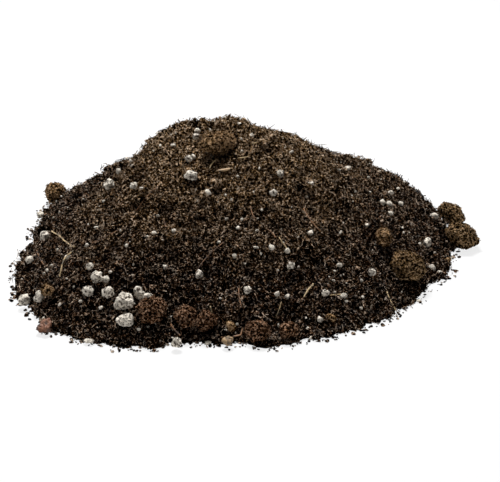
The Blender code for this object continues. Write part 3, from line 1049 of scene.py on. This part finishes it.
class HEAP_OT_clod_fuzz(bpy.types.Operator):
    """Covers the clods with short fibres in their own tone"""

    bl_idname = "heap.clod_fuzz"
    bl_label = "Clod fibres"

    def execute(self, context):
        sizes = context.scene.heap_sizes
        for tone, lift in CLOD_LIFTS.items():
            clods = [bpy.data.objects["rough_" + node] for node in named("clod_") if SLOTS[node] == tone]
            material = peat_material("fuzz_" + tone, clod_tone(tone), 1.0, lift)
            fuzz = tone + "_fuzz"
            curled = strand_shapes(fuzz, 0.12, (25, 60, 95, -40))
            scatter(fuzz, FUZZ_SHARE * sizes.fibre_length, clods, curled, material)
            grains = tone + "_grains"
            shapes = lump_shapes(grains, 0, (1, 0.8, 0.6), 0.10)
            scatter(grains, sizes.grain_size, clods, shapes, material)
        return {"FINISHED"}


def perlite_material(name, dustiness):
    if name in bpy.data.materials:
        return bpy.data.materials[name]
    colours = bpy.context.scene.heap_colours
    material, nodes, shader = new_material(name)
    tones = {"Clean": rgba(colours.perlite), "Dust": rgba(colours.dust)}
    made = placed_group(nodes, dust_group, {**tones, "Amount": dustiness, "Pore": 1000.0})
    nodes.feed(shader.inputs["Base Color"], made["Colour"])
    shader.inputs["Roughness"].default_value = 0.85
    bumped(nodes, shader, made["Height"], 0.0003)
    return material


def resting_place(across, along):
    """Where something that is let fall here comes to rest on the skin, and the slope there."""
    skin = bpy.data.objects["peat_skin"]
    hit, place, normal, _ = skin.ray_cast(Vector((across, along, 1)), Vector((0, 0, -1)))
    if not hit:
        return Vector((across, along, 0)), Vector((0, 0, 1))
    return place, normal


def rest_on_skin(obj, place, turn, size):
    """Gives the object its place, turn and size, all in its mesh."""
    obj.location = place
    obj.rotation_euler = turn
    obj.scale = size
    pick(obj)
    bpy.ops.object.transform_apply(location=True, rotation=True, scale=True)
    keep_above_table(obj)


def joined(pieces, name):
    pick(*pieces)
    bpy.ops.object.join()
    pieces[0].name = name
    return pieces[0]


def pebbles_of(name, rows, lift):
    """Copies of a few lumps, one at rest at each place."""
    shapes = lump_shapes(name, 2, (1.0, 0.85, 0.8), 0.16)
    pieces = []
    for reading, row in enumerate(rows):
        pebble = copy_of(shapes.objects[reading % 5], f"{name}_{reading}")
        place, slope = resting_place(row.across, row.along)
        size = (row.width, row.width, row.width * row.flatness)
        turn = slope.to_track_quat("Z", "Y").to_euler()
        turn.z += 1.3 * reading
        rest_on_skin(pebble, place + slope * (lift * row.width + PEBBLE_LIFT), turn, size)
        pieces.append(pebble)
    for shape in list(shapes.objects):
        bpy.data.objects.remove(shape)
    return joined(pieces, name)


class HEAP_OT_granules(bpy.types.Operator):
    """Gives each perlite granule its popped, pitted surface"""

    bl_idname = "heap.granules"
    bl_label = "Perlite granules"

    def execute(self, context):
        for reading, node in enumerate(named("perlite_")):
            low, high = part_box(node)
            width = (high - low).length / math.sqrt(3)
            levels = 3 if width > BIG_GRANULE else 2
            granule = smooth_copy(node, node.replace("perlite", "granule"), levels)
            layers = (
                Layer("clouds", 0.55 * width, 0.11 * width),
                Layer("knobs", 0.45 * width, 0.05 * width),
                *PORE_RELIEF,
            )
            add_relief(granule, layers, reading * 0.37)
            apply_all(granule)
            stand_in_for(granule, node, perlite_material("perlite_foam", 1.0))
        return {"FINISHED"}


class HEAP_OT_pebbles(bpy.types.Operator):
    """Sets the small granules and small clods where they lie on the heap"""

    bl_idname = "heap.pebbles"
    bl_label = "Small granules"

    def execute(self, context):
        pebbles = pebbles_of("small_granules", PEBBLES, 0.25)
        pebbles.data.materials.append(perlite_material("perlite_small", 0.6))
        clods = pebbles_of("small_clods", SMALL_CLODS, 0.1)
        clods.data.materials.append(bpy.data.materials["clod_golden_peat"])
        for piece, slot in ((pebbles, "perlite"), (clods, "golden_peat")):
            piece.data.shade_smooth()
            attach(piece, "root")
        return {"FINISHED"}


class HEAP_OT_specks(bpy.types.Operator):
    """Scatters the smallest perlite"""

    bl_idname = "heap.specks"
    bl_label = "Perlite specks"

    def execute(self, context):
        size = context.scene.heap_sizes.speck_size
        shapes = lump_shapes("perlite_specks", 1, (1.0, 0.7, 0.6), 0.12)
        over = [bpy.data.objects["peat_skin"]]
        material = perlite_material("perlite_clean", 0.25)
        scatter("perlite_specks", size, over, shapes, material)
        return {"FINISHED"}


def plant_material(slot):
    """Dry plant matter with fine streaks and darker patches."""
    name = slot + "_finish"
    if name in bpy.data.materials:
        return bpy.data.materials[name]
    colour = getattr(bpy.context.scene.heap_colours, slot)
    material, nodes, shader = new_material(name)
    streaks = nodes.noise(place_of(nodes), 0.0006, 4.0)
    patches = nodes.noise(place_of(nodes), 0.0022, 2.0)
    dark = tuple(0.22 * part for part in colour)
    pale = tuple(min(1.5 * part, 0.8) for part in colour)
    shade = nodes.mix(nodes.stretch(streaks, 0.40, 0.60), rgba(colour), rgba(pale))
    shade = nodes.mix(nodes.stretch(patches, 0.46, 0.60), shade, rgba(dark))
    nodes.feed(shader.inputs["Base Color"], shade)
    shader.inputs["Roughness"].default_value = 0.6
    bumped(nodes, shader, streaks, 0.0002)
    return material


class HEAP_OT_strands(bpy.types.Operator):
    """Gives the straws and roots their finish, and lays the loose ones"""

    bl_idname = "heap.strands"
    bl_label = "Straws and roots"

    def execute(self, context):
        for slot in ("straw", "root"):
            material = plant_material(slot)
            for node, node_slot in SLOTS.items():
                if node_slot == slot:
                    frame["nodes"][node].data.materials[0] = material
            rows = [row for row in LOOSE_STRANDS if row.slot == slot]
            strands = [self.lay(row, index) for index, row in enumerate(rows)]
            loose = joined(strands, f"loose_{slot}s")
            loose.data.materials.append(material)
            loose.data.shade_smooth()
            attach(loose, "root")
        return {"FINISHED"}

    def lay(self, row, index):
        start, slope = resting_place(*row.start)
        end, _ = resting_place(*row.end)
        along = end - start
        strand = model_strand(f"strand_{index}", row.thickness / along.length, row.bend, 5, 6)
        forward = along.normalized()
        side = slope.cross(forward).normalized()
        turn = Matrix((forward, side, forward.cross(side))).transposed().to_euler()
        size = (along.length, along.length, along.length)
        rest_on_skin(strand, (start + end) / 2 + slope * STRAND_LIFT, turn, size)
        return strand


class HEAP_OT_chips(bpy.types.Operator):
    """Shapes the husks and the bark chip"""

    bl_idname = "heap.chips"
    bl_label = "Husks and bark"

    def execute(self, context):
        for node, name, bend in (
            ("bark_chip_left", "curled_bark", 0.0011),
            ("husk_front", "curled_husk", 0.0006),
            ("husk_crown", "husk_blade", 0.0),
        ):
            low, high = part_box(node)
            chip = smooth_copy(node, name, 3)
            if bend:
                layers = (Layer("clouds", 0.0024, bend), Layer("clouds", 0.0008, 0.00015))
                add_relief(chip, layers)
                apply_all(chip)
            else:
                self.taper(chip, low, high)
            stand_in_for(chip, node, plant_material(SLOTS[node]))
        return {"FINISHED"}

    def taper(self, blade, low, high):
        """Thins the blade towards its left end and bends it up a little."""
        middle = (low + high) / 2
        for vertex in blade.data.vertices:
            way = (vertex.co.x - low.x) / (high.x - low.x)
            width = 0.25 + 0.75 * math.sin(math.pi * min(max(0.75 * way, 0), 1)) ** 0.8
            for axis in (1, 2):
                vertex.co[axis] = middle[axis] + (vertex.co[axis] - middle[axis]) * width
            vertex.co.z += BLADE_RISE * way * way


class HEAP_OT_stage(bpy.types.Operator):
    """Sets up the white table, the soft light and the camera"""

    bl_idname = "heap.stage"
    bl_label = "Stage"

    def execute(self, context):
        stage = context.scene.heap_stage
        context.scene.view_settings.view_transform = "Standard"
        self.add_table()
        self.add_light(stage)
        self.add_camera(stage)
        return {"FINISHED"}

    def add_table(self):
        bpy.ops.object.select_all(action="DESELECT")
        bpy.ops.mesh.primitive_plane_add(size=6)
        table = bpy.context.object
        table.name = "table"
        material, nodes, shader = new_material("white_table")
        shader.inputs["Base Color"].default_value = (0.9, 0.9, 0.9, 1)
        shader.inputs["Roughness"].default_value = 0.8
        path = nodes.add("ShaderNodeLightPath")
        seen = nodes.maths("MULTIPLY", path.outputs["Is Camera Ray"], 0.8)
        glow = nodes.add("ShaderNodeEmission", {"Color": (1, 1, 1, 1), "Strength": 1.0})
        both = nodes.add("ShaderNodeMixShader", {0: seen, 1: shader.outputs[0], 2: glow.outputs[0]})
        nodes.feed(material.node_tree.nodes["Material Output"].inputs[0], both.outputs[0])
        table.data.materials.append(material)

    def add_light(self, stage):
        world = bpy.data.worlds.new("studio")
        bpy.context.scene.world = world
        world.use_nodes = True
        nodes = Nodes(world.node_tree)
        back = world.node_tree.nodes["Background"]
        path = nodes.add("ShaderNodeLightPath")
        seen = nodes.maths("MAXIMUM", path.outputs["Is Camera Ray"], path.outputs["Is Glossy Ray"])
        seen = nodes.maths("MAXIMUM", seen, path.outputs["Is Transmission Ray"])
        strength = nodes.add("ShaderNodeMapRange", {"Value": seen, "To Min": stage.sky, "To Max": 1.0})
        nodes.feed(back.inputs["Color"], (1, 1, 1, 1))
        nodes.feed(back.inputs["Strength"], strength.outputs[0])
        lamp = bpy.data.lights.new("overhead", "AREA")
        lamp.shape = "RECTANGLE"
        lamp.size = LAMP_WIDTH
        lamp.size_y = LAMP_DEPTH
        lamp.energy = stage.lamp
        overhead = bpy.data.objects.new("overhead", lamp)
        bpy.context.scene.collection.objects.link(overhead)
        overhead.location = LAMP_PLACE
        aim = Vector((0, 0, 0)) - overhead.location
        overhead.rotation_euler = aim.to_track_quat("-Z", "Y").to_euler()

    def add_camera(self, stage):
        data = bpy.data.cameras.new("camera")
        data.lens = stage.lens
        camera = bpy.data.objects.new("camera", data)
        bpy.context.scene.collection.objects.link(camera)
        back = Vector((0, -math.cos(stage.elevation), math.sin(stage.elevation)))
        camera.location = Vector((stage.target_across, 0, 0)) + back * stage.distance
        camera.rotation_euler = (-back).to_track_quat("-Z", "Y").to_euler()
        bpy.context.scene.camera = camera


class HEAP_PT_panel(bpy.types.Panel):
    """Lists the steps that dress the heap"""

    bl_idname = "HEAP_PT_panel"
    bl_label = "Compost heap"
    bl_space_type = "VIEW_3D"
    bl_region_type = "UI"
    bl_category = "Compost"

    def draw(self, context):
        for step in STEPS:
            self.layout.operator(step.bl_idname)
        for group in (context.scene.heap_sizes, context.scene.heap_colours, context.scene.heap_stage):
            for name in group.__annotations__:
                self.layout.prop(group, name)


STEPS = (
    HEAP_OT_skin,
    HEAP_OT_lumps,
    HEAP_OT_clods,
    HEAP_OT_crumbs,
    HEAP_OT_fibres,
    HEAP_OT_clod_fuzz,
    HEAP_OT_granules,
    HEAP_OT_pebbles,
    HEAP_OT_specks,
    HEAP_OT_strands,
    HEAP_OT_chips,
    HEAP_OT_stage,
)
CLASSES = (HeapSizes, HeapColours, HeapStage, *STEPS, HEAP_PT_panel)


def register():
    for made in CLASSES:
        bpy.utils.register_class(made)
    bpy.types.Scene.heap_sizes = PointerProperty(type=HeapSizes)
    bpy.types.Scene.heap_colours = PointerProperty(type=HeapColours)
    bpy.types.Scene.heap_stage = PointerProperty(type=HeapStage)


def unregister():
    del bpy.types.Scene.heap_stage
    del bpy.types.Scene.heap_colours
    del bpy.types.Scene.heap_sizes
    for made in reversed(CLASSES):
        bpy.utils.unregister_class(made)


def main():
    register()
    for step in STEPS:
        area, name = step.bl_idname.split(".")
        getattr(getattr(bpy.ops, area), name)()


if __name__ == "__main__":
    main()
